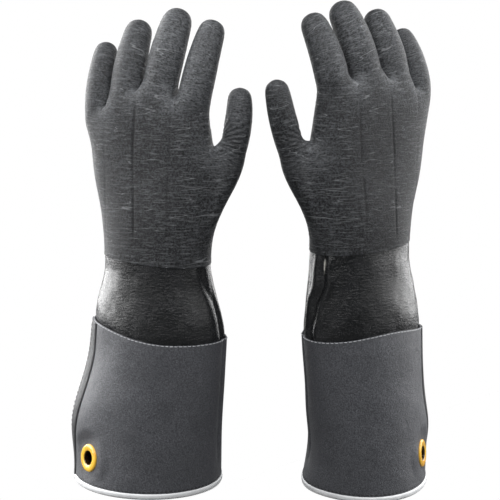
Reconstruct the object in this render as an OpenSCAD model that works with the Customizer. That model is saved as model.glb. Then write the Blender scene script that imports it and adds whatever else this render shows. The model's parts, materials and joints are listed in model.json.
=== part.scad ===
/* [Pair] */
// Distance of the left glove's rim centre from the middle of the pair
left_x = 91; // [80:0.5:110]
// Distance of the right glove's rim centre from the middle of the pair
right_x = 104; // [80:0.5:110]
// Turn of the left hand's thumb side towards the front
left_turn = 19; // [0:1:30]
// Turn of the right hand's thumb side towards the front
right_turn = 34; // [0:1:40]

/* [Cuff] */
// Height of the gauntlets' sewn top edges, left and right
gauntlet_tops = [136, 141]; // [125:1:145]
// Half width and half depth of the left gauntlet's top edge
left_head = [61, 42]; // [40:0.5:70]
// Half width and half depth of the right gauntlet's top edge
right_head = [57.5, 42]; // [40:0.5:70]
// Half width, half depth and turn of the left rim
left_rim = [66.5, 58, 0]; // [0:1:70]
// Half width, half depth and turn of the right rim
right_rim = [54, 65, 34]; // [0:1:70]
// Thickness of the rolled rim binding
rim_roll = 4.6; // [3:0.1:6]
// Facets round the cuff
cuff_sides = 32; // [24:8:48]

/* [Wrist] */
// Heights at which the rough hand coating starts, left and right
dip_lines = [202, 214]; // [185:1:215]
// Height of the narrowest place
wrist_height = 207; // [200:1:215]
// Half width and half depth of the wrist
wrist = [47, 33]; // [30:0.5:60]
// Growth of the half width and half depth for each millimetre below the wrist
wrist_flare = [0.055, 0.055]; // [0:0.01:0.2]
// Sideways place of the wrist, towards the thumb
wrist_x = 11; // [0:0.5:15]
// Height of the sleeve's lower edge, sewn inside the gauntlet
sleeve_foot = 119; // [116:1:124]

/* [Palm] */
// Height of the crotch between palm and thumb
crotch = 296; // [290:1:300]
// Half widths of the palm at the crotch, left and right
palm_widths = [55, 57.5]; // [50:0.5:60]
// Half depth of the palm at the crotch
palm_depth = 22.5; // [18:0.5:26]
// Sideways places of the palm at the crotch, left and right
palm_x = [7.5, 5]; // [0:0.5:12]
// Heights of the outer ends of the line of finger webs, left and right
web_heights = [320.5, 342]; // [312:0.5:345]
// Rise of the middle of the line of webs above its ends, left and right
web_arches = [26, 14]; // [0:0.5:30]
// Rise of the line of webs towards the thumb, left and right
web_tilts = [3.5, 5]; // [0:0.5:8]
// Half depth of the palm at the webs
web_depth = 15.5; // [13:0.5:18]

/* [Fingers] */
// Sideways places of the left hand's finger roots, from little finger to thumb
left_roots = [-41.2, -14.6, 15.4, 45.3, 78.5]; // [-60:0.5:90]
// Sideways places of the left hand's fingertips
left_tips = [-40, -9.7, 26.3, 57.7, 83.5]; // [-60:0.5:100]
// Heights of the centres of the left hand's fingertips
left_heights = [375.5, 393, 402, 394, 339]; // [330:0.5:410]
// Sideways places of the right hand's finger roots, from little finger to thumb
right_roots = [-48.7, -21, 10.5, 43.4, 78.5]; // [-60:0.5:90]
// Sideways places of the right hand's fingertips
right_tips = [-42.8, -15, 22, 53.5, 92]; // [-60:0.5:100]
// Heights of the centres of the right hand's fingertips
right_heights = [387, 402, 408.5, 400, 347.5]; // [330:0.5:410]
// Outer radii at the roots
root_radii = [11.6, 14.2, 15.1, 14.1, 11]; // [9:0.1:16]
// Outer radii at the tips
tip_radii = [10, 12, 13.1, 11.7, 10]; // [8:0.1:14]
// Swelling of the radius halfway up
finger_swell = 1; // [0:0.1:1.2]
// Bend of each finger towards the palm, measured at its tip
curls = [15, 16, 15, 14, 3]; // [0:1:20]
// Place of the bending crease, as a part of the finger's length
crease = 0.42; // [0.4:0.01:0.5]
// Half length of each bending zone, as a part of the radius
crease_reach = [0.72, 0.72, 0.72, 0.72, 0.5]; // [0.4:0.01:0.8]

/* [Skins] */
// Thickness of the neoprene coating
coating = 1.5; // [1.2:0.1:1.8]
// Thickness of the hand lining
lining = 1.8; // [1.2:0.1:2.2]
// Thickness of the gauntlet panel
panel = 1.2; // [1:0.1:1.4]
// Thickness of the gauntlet lining
cuff_lining = 1.4; // [1:0.1:1.6]
// Gap between two layers
layer_gap = 0.15; // [0.1:0.05:0.3]

/* [Eyelet] */
// Heights of the eyelets' centres, left and right
eyelet_heights = [27, 29]; // [22:1:40]
// Outer radius of the flange
flange_radius = 12.2; // [11:0.1:13]
// Radius of the hole
hole_radius = 6; // [5:0.1:6.5]
// Height of the flange's dome
flange_dome = 2.4; // [1.5:0.1:3]

/* [Hidden] */
LEFT = 0;
RIGHT = 1;
SIDES = ["left", "right"];
FINGERS = ["little", "ring", "middle", "index", "thumb"];
THUMB = 4;
CUFF_PIECES = [
    "wrist_sleeve", "gauntlet", "gauntlet_lining", "rim_binding", "side_lap",
    "top_stitching", "lap_stitching", "rim_stitching", "eyelet", "eyelet_washer"
];
HAND_PIECES = ["palm_shell", "palm_lining"];
FINGER_PIECES = ["stall", "knuckle", "lining"];
NODES = [
    for (side = SIDES) each concat(
        [for (piece = concat(CUFF_PIECES, HAND_PIECES)) str(side, "_", piece)],
        [for (finger = FINGERS) for (piece = FINGER_PIECES) str(side, "_", finger, "_", piece)]
    )
];
node = "all";

turns = [left_turn, right_turn];
rims = [left_rim, right_rim];
heads = [left_head, right_head];
// Sideways places of the rim's centre and of the gauntlet top's centre, for each glove
cuff_x = [[-1, 11.5], [1.5, 7]];
// Turns of each cuff's facets, which set the place of its eyelet
cuff_turns = [-3, 5.4];
// Moves the pair's middle over the origin
pair_shift = [0.21, 0.89];
roots = [left_roots, right_roots];
tips = [left_tips, right_tips];
tip_heights = [left_heights, right_heights];

// Height below which the wrist keeps its oval, and how late each heel widens above it
heel_foot = 193;
heel_spread = [1.6, 1.9];
finger_y = -3;
thumb_y = 7;
finger_sides = 14;
finger_step = 360 / finger_sides;
palm_sides = 38;
heel_sides = 46;
// Places in a palm loop where the webs start on the back and end on the palm
web_backs = [0, 4, 8];
web_fronts = [27, 23, 19];
// Places in a palm loop between which the thumb joins
thumb_back = 12;
thumb_front = 15;
// Rise of the middle of each finger web, and of each thumb's web
web_rise = 3;
thumb_rises = [0, 9];
palm_square = 2.6;
wrist_square = 2.2;
// Power that shapes the line of webs, from 1 for a tent to 2 for an arch
web_peak = 1.2;

lining_foot = 137;
// How far the sleeve's lower edge is drawn in
sleeve_tuck = 2.5;
// Lowest and middle levels of the cuff's walls, shared by the panel and its lining
cuff_levels = [rim_roll + 0.05, 45, 85, sleeve_foot - 2];
heel_parts = [0, 0.22, 0.46, 0.72, 1];
palm_levels = [0.35, 0.7, 1];
stub_foot = 0.15;
stall_levels = [0, 0.35, 0.7, 1];
dome_levels = [28, 56];

barrel_wall = 1;
barrel_radius = hole_radius + barrel_wall;
wall_stack = panel + layer_gap + cuff_lining;
flange_seat = 0.5;
washer_radius = 10.8;
washer_thickness = 1;
eyelet_facet = 20;
lap_facet = 17;

coating_colour = "#2f3234";
sleeve_colour = "#131415";
gauntlet_colour = "#3b3e41";
lining_colour = "#d8d4c8";

function lerp(a, b, t) = a + (b - a) * t;
function unit(v) = v / norm(v);
function smooth(t) = t * t * (3 - 2 * t);
function clamp(t) = max(0, min(1, t));
function spread(x, n) = sign(x) * pow(abs(x), n);
function span(start, n) = [for (i = [0 : n - 1]) start + i];
function slice(list, from, to) = [for (i = [from : to]) list[i]];

// Point of a squared-off oval: half sizes, angle, and 2 for an ellipse or more for squarer ends
function oval(half, angle, square) = [
    half.x * spread(cos(angle), 2 / square),
    half.y * spread(sin(angle), 2 / square)
];

// Two rows of triangles between loops of equal length, the first one below the second
function strip(low, high) = let (n = len(low)) [
    for (i = [0 : n - 1]) each [
        [low[i], high[i], high[(i + 1) % n]],
        [low[i], high[(i + 1) % n], low[(i + 1) % n]]
    ]
];

function shifted(loop, by) = [for (k = loop) k + by];

// A wall between an outer and an inner set of points that share one list of faces
module skin(outer, inner, walls, lower_ends, upper_ends) {
    n = len(outer);
    polyhedron(
        points = concat(outer, inner),
        faces = concat(
            walls,
            [for (w = walls) [w[2] + n, w[1] + n, w[0] + n]],
            [for (loop = lower_ends) each strip(shifted(loop, n), loop)],
            [for (loop = upper_ends) each strip(loop, shifted(loop, n))]
        ),
        convexity = 10
    );
}

// ---- Fingers ----

// Oval that the four finger roots fill: centre and half sizes
function web_centre(side) =
    (roots[side][3] + root_radii[3] + roots[side][0] - root_radii[0]) / 2;
function web_half(side) =
    [(roots[side][3] + root_radii[3] - roots[side][0] + root_radii[0]) / 2, web_depth];
function web_height(side, x) =
    let (u = (x - web_centre(side)) / web_half(side).x)
    web_heights[side] + web_arches[side] * (1 - pow(abs(u), web_peak)) + web_tilts[side] * u;
function web_place(side, k) = (roots[side][k] + root_radii[k] + roots[side][k + 1] - root_radii[k + 1]) / 2;

function root(side, f) = f == THUMB
    ? [roots[side][f], thumb_y, crotch]
    : [roots[side][f], finger_y, web_height(side, roots[side][f])];
function tip(side, f) = [tips[side][f], root(side, f).y + curls[f], tip_heights[side][f]];
function finger_length(side, f) = tip(side, f).z - root(side, f).z;
function finger_radius(f, s) = lerp(root_radii[f], tip_radii[f], s) + finger_swell * 4 * s * (1 - s);
function finger_centre(side, f, s) = let (a = root(side, f), b = tip(side, f))
    [lerp(a.x, b.x, s), a.y + curls[f] * s * s, lerp(a.z, b.z, s)];
function finger_heading(side, f, s) = let (a = root(side, f), b = tip(side, f))
    unit([b.x - a.x, 2 * curls[f] * s, b.z - a.z]);

// Ring of points round a finger, lifted along its heading by part of a dome
function finger_ring(side, f, s, inset, dome = 0) =
    let (
        heading = finger_heading(side, f, s),
        across = unit([heading.z, 0, -heading.x]),
        ahead = cross(heading, across),
        r = finger_radius(f, s) - inset,
        centre = finger_centre(side, f, s) + r * sin(dome) * heading,
        start = f == 0 ? 1.5 * finger_step : -5.5 * finger_step
    )
    [
        for (i = [0 : finger_sides - 1])
            let (angle = start + i * finger_step)
            centre + r * cos(dome) * (cos(angle) * across + sin(angle) * ahead)
    ];

function crease_half(side, f) =
    crease_reach[f] * finger_radius(f, crease) / finger_length(side, f);
function stub_end(side, f) = crease - crease_half(side, f);
function stall_start(side, f) = crease + crease_half(side, f);

// Closed-ended tube from the bending zone to the fingertip
module stall_skin(side, f, outset, inset) {
    start = stall_start(side, f);
    rings = len(stall_levels) + len(dome_levels);
    function points(t) = concat(
        [for (level = stall_levels) each finger_ring(side, f, lerp(start, 1, level), t)],
        [for (lift = dome_levels) each finger_ring(side, f, 1, t, lift)],
        [finger_centre(side, f, 1) + (finger_radius(f, 1) - t) * finger_heading(side, f, 1)]
    );
    pole = [for (i = [1 : finger_sides]) rings * finger_sides];
    last = span((rings - 1) * finger_sides, finger_sides);
    walls = concat(
        [
            for (j = [0 : rings - 2])
                each strip(span(j * finger_sides, finger_sides), span((j + 1) * finger_sides, finger_sides))
        ],
        [for (i = [0 : finger_sides - 1]) [last[i], pole[0], last[(i + 1) % finger_sides]]]
    );
    skin(points(outset), points(inset), walls, [span(0, finger_sides)], []);
}

module stall(side, f) {
    color(coating_colour)
        stall_skin(side, f, 0, coating);
}

module finger_lining(side, f) {
    color(lining_colour)
        stall_skin(side, f, coating + layer_gap, coating + layer_gap + lining);
}

// Soft crease between the palm shell's finger stub and the stall
module knuckle(side, f) {
    ends = [stub_end(side, f) + 0.002, crease, stall_start(side, f) - 0.002];
    function points(t) = [for (s = ends) each finger_ring(side, f, s, t)];
    color(coating_colour)
        skin(
            points(0), points(coating),
            [
                for (j = [0 : 1])
                    each strip(span(j * finger_sides, finger_sides), span((j + 1) * finger_sides, finger_sides))
            ],
            [span(0, finger_sides)], [span(2 * finger_sides, finger_sides)]
        );
}

// ---- Palm ----

// Angle of the palm oval at a sideways place, back side negative
function palm_angle(side, x) = let (u = (x - web_centre(side)) / web_half(side).x)
    acos(spread(u, palm_square / 2));

// Angles of the points of every palm loop, from the first web on the back and round by the thumb side
function palm_angles(side) =
    let (
        webs = [for (k = [0 : 2]) web_place(side, k)],
        thumb_side = palm_angle(side, webs[2]),
        little_side = palm_angle(side, webs[0])
    )
    [
        for (i = [0 : palm_sides - 1])
            i < 4 ? -palm_angle(side, lerp(webs[0], webs[1], i / 4)) :
            i < 8 ? -palm_angle(side, lerp(webs[1], webs[2], (i - 4) / 4)) :
            i < 19 ? lerp(-thumb_side, thumb_side, (i - 8) / 11) :
            i < 23 ? palm_angle(side, lerp(webs[2], webs[1], (i - 19) / 4)) :
            i < 27 ? palm_angle(side, lerp(webs[1], webs[0], (i - 23) / 4)) :
            lerp(little_side, 360 - little_side, (i - 27) / 11)
    ];

// Angles of the points of every loop below the crotch, with more of them where the thumb joins
function heel_angles(side) =
    let (a = palm_angles(side))
    concat(
        slice(a, 0, thumb_back),
        [for (i = [1 : 10]) lerp(a[thumb_back], a[thumb_front], i / 11)],
        slice(a, thumb_front, palm_sides - 1)
    );

function heel_levels(side) = [for (u = heel_parts) lerp(dip_lines[side], crotch, u)];

function wrist_half(z) = wrist + wrist_flare * max(0, wrist_height - z);

// Loop of the palm between the crotch and the finger webs
function palm_loop(side, level, inset) =
    let (
        palm = [palm_widths[side], palm_depth],
        half = lerp(palm, web_half(side), level) - [inset, inset],
        centre = [lerp(palm_x[side], web_centre(side), level), lerp(0, finger_y, level)]
    )
    [
        for (angle = palm_angles(side))
            let (p = centre + oval(half, angle, palm_square))
            [p.x, p.y, lerp(crotch, web_height(side, p.x), level)]
    ];

// Palm and thumb together at the crotch
function crotch_loop(side, inset) =
    let (
        around = palm_loop(side, 0, inset),
        thumb = finger_ring(side, THUMB, 0, inset)
    )
    concat(
        slice(around, 0, thumb_back),
        slice(thumb, 1, 10),
        slice(around, thumb_front, palm_sides - 1)
    );

// Loop of the heel of the hand at a height between the sleeve's foot and the crotch
function heel_loop(side, z, inset) =
    let (
        part = pow(smooth(clamp((z - heel_foot) / (crotch - heel_foot))), heel_spread[side]),
        half = wrist_half(z) - [inset, inset],
        angles = heel_angles(side),
        outline = crotch_loop(side, inset)
    )
    [
        for (i = [0 : heel_sides - 1])
            let (p = [wrist_x, 0] + oval(half, angles[i], wrist_square))
            lerp([p.x, p.y, z], [outline[i].x, outline[i].y, z + outline[i].z - crotch], part)
    ];

// Two points that bridge a web between its ends on the back and on the palm
function bridge(a, b, rise) = [for (u = [1 / 3, 2 / 3]) lerp(a, b, u) + [0, 0, rise]];

// Branched wall of the palm with the stubs of the thumb and the fingers, open at every end
module palm_skin(side, levels, outset, inset) {
    heel_rings = len(levels);
    palm_rings = len(palm_levels);
    thumb_bridge = heel_rings * heel_sides;
    palm_start = thumb_bridge + 2;
    web_bridges = palm_start + palm_rings * palm_sides;
    stub_start = web_bridges + 6;
    fingers = [0 : THUMB];

    function points(t) = let (
        outline = crotch_loop(side, t),
        top = palm_loop(side, 1, t)
    ) concat(
        [for (z = levels) each heel_loop(side, z, t)],
        bridge(outline[thumb_back], outline[heel_sides - palm_sides + thumb_front], thumb_rises[side] - t),
        [for (level = palm_levels) each palm_loop(side, level, t)],
        [for (k = [0 : 2]) each bridge(top[web_backs[k]], top[web_fronts[k]], web_rise - t)],
        [
            for (f = fingers)
                for (s = [stub_foot, stub_end(side, f)])
                    each finger_ring(side, f, s, t)
        ]
    );

    outline = span((heel_rings - 1) * heel_sides, heel_sides);
    thumb_end = heel_sides - palm_sides + thumb_front;
    palm_base = concat(
        slice(outline, 0, thumb_back), [thumb_bridge, thumb_bridge + 1],
        slice(outline, thumb_end, heel_sides - 1)
    );
    thumb_base = concat(slice(outline, thumb_back, thumb_end), [thumb_bridge + 1, thumb_bridge]);
    top = span(palm_start + (palm_rings - 1) * palm_sides, palm_sides);
    function over(k) = [web_bridges + 2 * k, web_bridges + 2 * k + 1];
    function back(k) = [over(k)[1], over(k)[0]];
    bases = [
        concat(slice(top, web_fronts[0], palm_sides - 1), [top[0]], over(0)),
        concat(slice(top, web_backs[0], web_backs[1]), over(1), slice(top, web_fronts[1], web_fronts[0]), back(0)),
        concat(slice(top, web_backs[1], web_backs[2]), over(2), slice(top, web_fronts[2], web_fronts[1]), back(1)),
        concat(slice(top, web_backs[2], web_fronts[2]), back(2)),
        thumb_base
    ];
    function stub(f, ring) = span(stub_start + (2 * f + ring) * finger_sides, finger_sides);

    walls = concat(
        [
            for (j = [0 : heel_rings - 2])
                each strip(span(j * heel_sides, heel_sides), span((j + 1) * heel_sides, heel_sides))
        ],
        strip(palm_base, span(palm_start, palm_sides)),
        [
            for (j = [0 : palm_rings - 2])
                each strip(
                    span(palm_start + j * palm_sides, palm_sides),
                    span(palm_start + (j + 1) * palm_sides, palm_sides)
                )
        ],
        [for (f = fingers) each concat(strip(bases[f], stub(f, 0)), strip(stub(f, 0), stub(f, 1)))]
    );
    skin(
        points(outset), points(inset), walls,
        [span(0, heel_sides)], [for (f = fingers) stub(f, 1)]
    );
}

module palm_shell(side) {
    color(coating_colour)
        palm_skin(side, heel_levels(side), 0, coating);
}

module palm_lining(side) {
    color(lining_colour)
        palm_skin(
            side, concat([lining_foot], heel_levels(side)),
            coating + layer_gap, coating + layer_gap + lining
        );
}

// ---- Wrist and cuff ----

// Tube through a list of loops, given as a function of the inset
module tube(outer_loops, inner_loops) {
    n = len(outer_loops[0]);
    m = len(outer_loops);
    skin(
        [for (loop = outer_loops) each loop], [for (loop = inner_loops) each loop],
        [for (j = [0 : m - 2]) each strip(span(j * n, n), span((j + 1) * n, n))],
        [span(0, n)], [span((m - 1) * n, n)]
    );
}

module wrist_sleeve(side) {
    levels = [[sleeve_foot, sleeve_tuck], [lining_foot, 0], [dip_lines[side] - 0.05, 0]];
    color(sleeve_colour)
        tube(
            [for (level = levels) heel_loop(side, level[0], level[1])],
            [for (level = levels) heel_loop(side, level[0], level[1] + coating)]
        );
}

// Point of the cuff's outer surface, by facet corner, height and inset
function cuff_point(side, corner, z, inset) =
    let (
        level = z / gauntlet_tops[side],
        angle = 360 * corner / cuff_sides + cuff_turns[side],
        head = cuff_radius(heads[side], angle, 0, inset),
        foot = cuff_radius(rims[side], angle, rims[side][2], inset),
        r = lerp(foot, head, level),
        x = lerp(cuff_x[side][0], cuff_x[side][1], level)
    )
    [x + r * cos(angle), r * sin(angle), z];

// Radius of an ellipse in a direction, with the ellipse itself turned
function cuff_radius(half, angle, turn, inset) =
    let (a = half.x - inset, b = half.y - inset, u = angle - turn)
    a * b / sqrt(pow(b * cos(u), 2) + pow(a * sin(u), 2));

function cuff_loop(side, z, inset) =
    [for (corner = [0 : cuff_sides - 1]) cuff_point(side, corner, z, inset)];

module cuff_tube(side, heights, outset, inset) {
    tube(
        [for (z = heights) cuff_loop(side, z, outset)],
        [for (z = heights) cuff_loop(side, z, inset)]
    );
}

// Twelve-sided punch whose flats lie at the given radius
module punch(radius, height) {
    cylinder(r = radius / cos(15), h = height, $fn = 12);
}

module gauntlet(side) {
    color(gauntlet_colour)
        difference() {
            cuff_tube(side, concat(cuff_levels, [gauntlet_tops[side]]), 0, panel);
            at_eyelet(side) {
                translate([0, 0, -20])
                    punch(barrel_radius + 0.1, 40);
                translate([0, 0, -flange_seat])
                    punch(flange_radius + 0.1, 10);
            }
        }
}

module gauntlet_lining(side) {
    color(lining_colour)
        difference() {
            cuff_tube(side, cuff_levels, panel + layer_gap, wall_stack);
            at_eyelet(side) {
                cylinder(r = barrel_radius + 0.1, h = 40, center = true, $fn = 48);
                translate([0, 0, -wall_stack - 10])
                    cylinder(r = washer_radius + 0.2, h = 10.05, $fn = 64);
            }
        }
}

// Rolled welt round the open edge, eight-sided so that it stands on a flat
module rim_binding(side) {
    half_flat = rim_roll / 2;
    corner_radius = half_flat / cos(22.5);
    middle = panel;
    function ring(k) = let (angle = 22.5 + 45 * k)
        [
            for (corner = [0 : cuff_sides - 1])
                let (p = cuff_point(side, corner, half_flat, middle - corner_radius * cos(angle)))
                [p.x, p.y, half_flat + corner_radius * sin(angle)]
        ];
    color("white")
        polyhedron(
            points = [for (k = [0 : 7]) each ring(k)],
            faces = [
                for (k = [0 : 7])
                    each strip(span(k * cuff_sides, cuff_sides), span(((k + 1) % 8) * cuff_sides, cuff_sides))
            ],
            convexity = 6
        );
}

// Flat strip that covers one facet of the cuff, over its whole height
module side_lap(side) {
    height = [rim_roll + 0.6, gauntlet_tops[side] - 0.6];
    function edge(corner, z) = [
        cuff_point(side, corner, z, -layer_gap),
        cuff_point(side, corner, z, -layer_gap - 1)
    ];
    function ends(z) = let (a = edge(lap_facet, z), b = edge(lap_facet + 1, z)) [a[1], b[1], b[0], a[0]];
    color(gauntlet_colour)
        polyhedron(
            points = concat(ends(height[0]), ends(height[1])),
            faces = concat(strip(span(0, 4), span(4, 4)), [[0, 1, 2], [0, 2, 3], [6, 5, 4], [7, 6, 4]])
        );
}

// One stitch lying on a facet of the cuff, along it or up it
module stitch(side, corner, along, z, stand, upright) {
    a = cuff_point(side, corner, z, -stand);
    b = cuff_point(side, corner + 1, z, -stand);
    below = cuff_point(side, corner + 0.5, z - 10, 0);
    above = cuff_point(side, corner + 0.5, z + 10, 0);
    place = lerp(a, b, along);
    yaw = atan2(b.y - a.y, b.x - a.x);
    lean = atan2(norm([above.x, above.y]) - norm([below.x, below.y]), 20);
    translate(place)
        rotate([0, 0, yaw])
            rotate([lean, 0, 0])
                cube(upright ? [0.7, 0.5, 3.4] : [3.4, 0.5, 0.7], center = true);
}

module ring_of_stitches(side, z) {
    for (corner = [0 : cuff_sides - 1])
        if (corner != lap_facet)
            for (along = [0.25, 0.75])
                stitch(side, corner, along, z, 0.45, false);
}

module top_stitching(side) {
    color("#b9bbbd")
        ring_of_stitches(side, gauntlet_tops[side] - 2.5);
}

module rim_stitching(side) {
    color("#1c1d1f")
        ring_of_stitches(side, rim_roll + 2.5);
}

module lap_stitching(side) {
    color("#1c1d1f")
        for (z = [14 : 7 : gauntlet_tops[side] - 6])
            for (along = [0.18, 0.82])
                stitch(side, lap_facet, along, z, layer_gap + 1.45, true);
}

// ---- Eyelet ----

// Puts the eyelet's axis on the outward normal of the cuff, with its zero on the surface
module at_eyelet(side) {
    a = cuff_point(side, eyelet_facet, eyelet_heights[side], 0);
    b = cuff_point(side, eyelet_facet + 1, eyelet_heights[side], 0);
    above = lerp(
        cuff_point(side, eyelet_facet, eyelet_heights[side] + 10, 0),
        cuff_point(side, eyelet_facet + 1, eyelet_heights[side] + 10, 0), 0.5
    );
    centre = lerp(a, b, 0.5);
    normal = unit(cross(b - a, above - centre));
    translate(centre)
        rotate([0, acos(normal.z), atan2(normal.y, normal.x)])
            children();
}

// Domed flange with the barrel that passes through the cuff
module eyelet(side) {
    barrel_end = -wall_stack - washer_thickness - 0.2;
    dome = [
        for (u = [0 : 15 : 75])
            [lerp(hole_radius + 1, flange_radius, cos(u)), -flange_seat + 0.6 + (flange_dome - 0.1) * sin(u)]
    ];
    color("#f0a818")
        at_eyelet(side)
            rotate_extrude($fn = 64)
                polygon(concat(
                    [[hole_radius, barrel_end], [barrel_radius, barrel_end], [barrel_radius, -flange_seat]],
                    [[flange_radius, -flange_seat]],
                    dome,
                    [[hole_radius + 0.5, flange_dome - 0.1], [hole_radius, flange_dome - 0.6]]
                ));
}

module eyelet_washer(side) {
    color("#f0a818")
        at_eyelet(side)
            translate([0, 0, -wall_stack - washer_thickness - 0.02])
                difference() {
                    cylinder(r = washer_radius, h = washer_thickness, $fn = 64);
                    translate([0, 0, -1])
                        cylinder(r = barrel_radius + 0.02, h = washer_thickness + 2, $fn = 48);
                }
}

// ---- Assembly ----

module place(side) {
    if (side == LEFT)
        translate([pair_shift.x - left_x, pair_shift.y, 0])
            rotate([0, 0, -left_turn])
                children();
    else
        translate([pair_shift.x + right_x, pair_shift.y, 0])
            mirror([1, 0, 0])
                rotate([0, 0, -right_turn])
                    children();
}

function wanted(side, piece) = node == "all" || node == str(SIDES[side], "_", piece);

for (side = [LEFT, RIGHT]) {
    if (wanted(side, "wrist_sleeve")) place(side) wrist_sleeve(side);
    if (wanted(side, "gauntlet")) place(side) gauntlet(side);
    if (wanted(side, "gauntlet_lining")) place(side) gauntlet_lining(side);
    if (wanted(side, "rim_binding")) place(side) rim_binding(side);
    if (wanted(side, "side_lap")) place(side) side_lap(side);
    if (wanted(side, "top_stitching")) place(side) top_stitching(side);
    if (wanted(side, "lap_stitching")) place(side) lap_stitching(side);
    if (wanted(side, "rim_stitching")) place(side) rim_stitching(side);
    if (wanted(side, "eyelet")) place(side) eyelet(side);
    if (wanted(side, "eyelet_washer")) place(side) eyelet_washer(side);
    if (wanted(side, "palm_shell")) place(side) palm_shell(side);
    if (wanted(side, "palm_lining")) place(side) palm_lining(side);
    for (f = [0 : THUMB]) {
        if (wanted(side, str(FINGERS[f], "_stall"))) place(side) stall(side, f);
        if (wanted(side, str(FINGERS[f], "_knuckle"))) place(side) knuckle(side, f);
        if (wanted(side, str(FINGERS[f], "_lining"))) place(side) finger_lining(side, f);
    }
}
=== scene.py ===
"""The looks of a pair of cryogenic gloves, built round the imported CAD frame.

Lengths are in millimetres in each glove's own frame (x towards the thumb, y towards the palm,
z up from the rim) until place() puts them in the row frame in metres.
"""
import itertools
import json
import math

import bpy
import numpy as np
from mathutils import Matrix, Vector


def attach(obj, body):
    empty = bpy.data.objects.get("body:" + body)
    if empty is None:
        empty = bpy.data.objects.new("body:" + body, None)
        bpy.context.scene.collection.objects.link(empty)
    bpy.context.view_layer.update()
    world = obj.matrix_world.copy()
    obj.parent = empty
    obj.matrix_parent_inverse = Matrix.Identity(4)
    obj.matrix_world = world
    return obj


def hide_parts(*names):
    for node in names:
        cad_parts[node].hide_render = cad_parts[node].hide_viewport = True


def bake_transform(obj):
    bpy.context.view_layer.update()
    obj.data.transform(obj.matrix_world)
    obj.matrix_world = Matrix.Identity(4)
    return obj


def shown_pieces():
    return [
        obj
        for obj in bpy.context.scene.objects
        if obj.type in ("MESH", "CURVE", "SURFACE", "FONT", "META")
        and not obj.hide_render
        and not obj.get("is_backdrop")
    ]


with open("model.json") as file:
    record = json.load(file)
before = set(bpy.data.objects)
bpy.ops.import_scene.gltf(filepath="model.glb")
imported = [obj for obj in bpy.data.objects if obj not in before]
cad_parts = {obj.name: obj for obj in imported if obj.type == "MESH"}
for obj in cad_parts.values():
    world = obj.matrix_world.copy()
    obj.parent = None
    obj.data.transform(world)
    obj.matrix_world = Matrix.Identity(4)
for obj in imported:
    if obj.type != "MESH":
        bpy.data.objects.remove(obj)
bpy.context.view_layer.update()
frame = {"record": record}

SIDES = ("left", "right")
FINGERS = ("little", "ring", "middle", "index", "thumb")
THUMB = 4

# ---- Sizes shared with the CAD part ----

GLOVE_X = {"left": -90.79, "right": 104.21}
GLOVE_Y = 0.89
TURN = {"left": math.radians(19), "right": math.radians(34)}
RIM = {"left": (66.5, 58, 0), "right": (54, 65, 34)}
CUFF_X = {"left": (-1, 11.5), "right": (1.5, 7)}
GAUNTLET_TOP = {"left": 136, "right": 141}
GAUNTLET_HEAD = {"left": (61, 42), "right": (57.5, 42)}
RIM_ROLL = 4.6
DIP_LINE = {"left": 202, "right": 214}
WRIST_HEIGHT = 207
WRIST = np.array((47, 33))
WRIST_FLARE = np.array((0.055, 0.055))
WRIST_X = 11
HEEL_FOOT = 193
HEEL_SPREAD = {"left": 1.6, "right": 1.9}
CROTCH = 296
PALM_WIDTH = {"left": 55, "right": 57.5}
PALM_DEPTH = 22.5
PALM_X = {"left": 7.5, "right": 5}
WEB = {"left": 320.5, "right": 342}
WEB_ARCH = {"left": 26, "right": 14}
WEB_TILT = {"left": 3.5, "right": 5}
WEB_DEPTH = 15.5
WEB_RISE = 3
THUMB_RISE = {"left": 0, "right": 9}
ROOTS = {"left": (-41.2, -14.6, 15.4, 45.3, 78.5), "right": (-48.7, -21, 10.5, 43.4, 78.5)}
TIPS = {"left": (-40, -9.7, 26.3, 57.7, 83.5), "right": (-42.8, -15, 22, 53.5, 92)}
TIP_HEIGHTS = {"left": (375.5, 393, 402, 394, 339), "right": (387, 402, 408.5, 400, 347.5)}
ROOT_RADII = (11.6, 14.2, 15.1, 14.1, 11)
TIP_RADII = (10, 12, 13.1, 11.7, 10)
CURLS = (15, 16, 15, 14, 3)
BOWS = (0, 0, 0, 0, 1.7)
CREASE = 0.42
CREASE_REACH = (0.72, 0.72, 0.72, 0.72, 0.5)
FINGER_SWELL = 1
FINGER_Y = -3
THUMB_Y = 7
COATING = 1.5
LINING = 1.8

FINGER_SIDES = 14
PALM_SIDES = 38
HEEL_SIDES = 46
WEB_BACKS = (0, 4, 8)
WEB_FRONTS = (27, 23, 19)
THUMB_BACK = 12
THUMB_FRONT = 15
# A subdivided ring of this many sides ends up slightly inside its cage
CAGE_GROWTH = 0.4


# ---- Sizes of details that only the looks have ----

# Height of the seam on the cuff: mean, fall towards the thumb, rise at both narrow sides
SEAM = {"left": (137.5, 6.4, 1.8), "right": (139, 0.4, -3.3)}
# Fall of the dipped coating's edge for each millimetre towards the thumb
DIP_TILT = {"left": 0.07, "right": 0.06}
# Angle of the fold down the cuff's thumb side
CUFF_FOLD = {"left": 0.0, "right": 0.28}
# Angle that the side lap takes up round the cuff
LAP_WIDTH = 0.36
# Radius of the gauntlet's top edge, which turns in to the sleeve
HEM = 0.75
# Thickness of the gauntlet's panel and lining, and of the lap's strip
FABRIC = 0.9
LAP_FABRIC = 0.8
# Hole that the eyelet's barrel passes through
BARREL_HOLE = 7
# Where the cuff's lining leaves the panel, and where it meets the hand lining
LINING_BEND = 116
LINING_TOP = 124
STITCH_PITCH = 3.9
# Share of light speckle on the backs of the fingers, from little finger to thumb, partly wear and partly
# painted light that brightens the fingers
FINGER_WEAR_AND_LIGHT = {"left": (0.22, 0.25, 0.42, 0.7, 0.5), "right": (0.45, 0.4, 0.34, 0.6, 0.2)}


# ---- Small helpers ----


def lerp(a, b, t):
    return a + (b - a) * t


def smooth(t):
    t = np.clip(t, 0, 1)
    return t * t * (3 - 2 * t)


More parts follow.
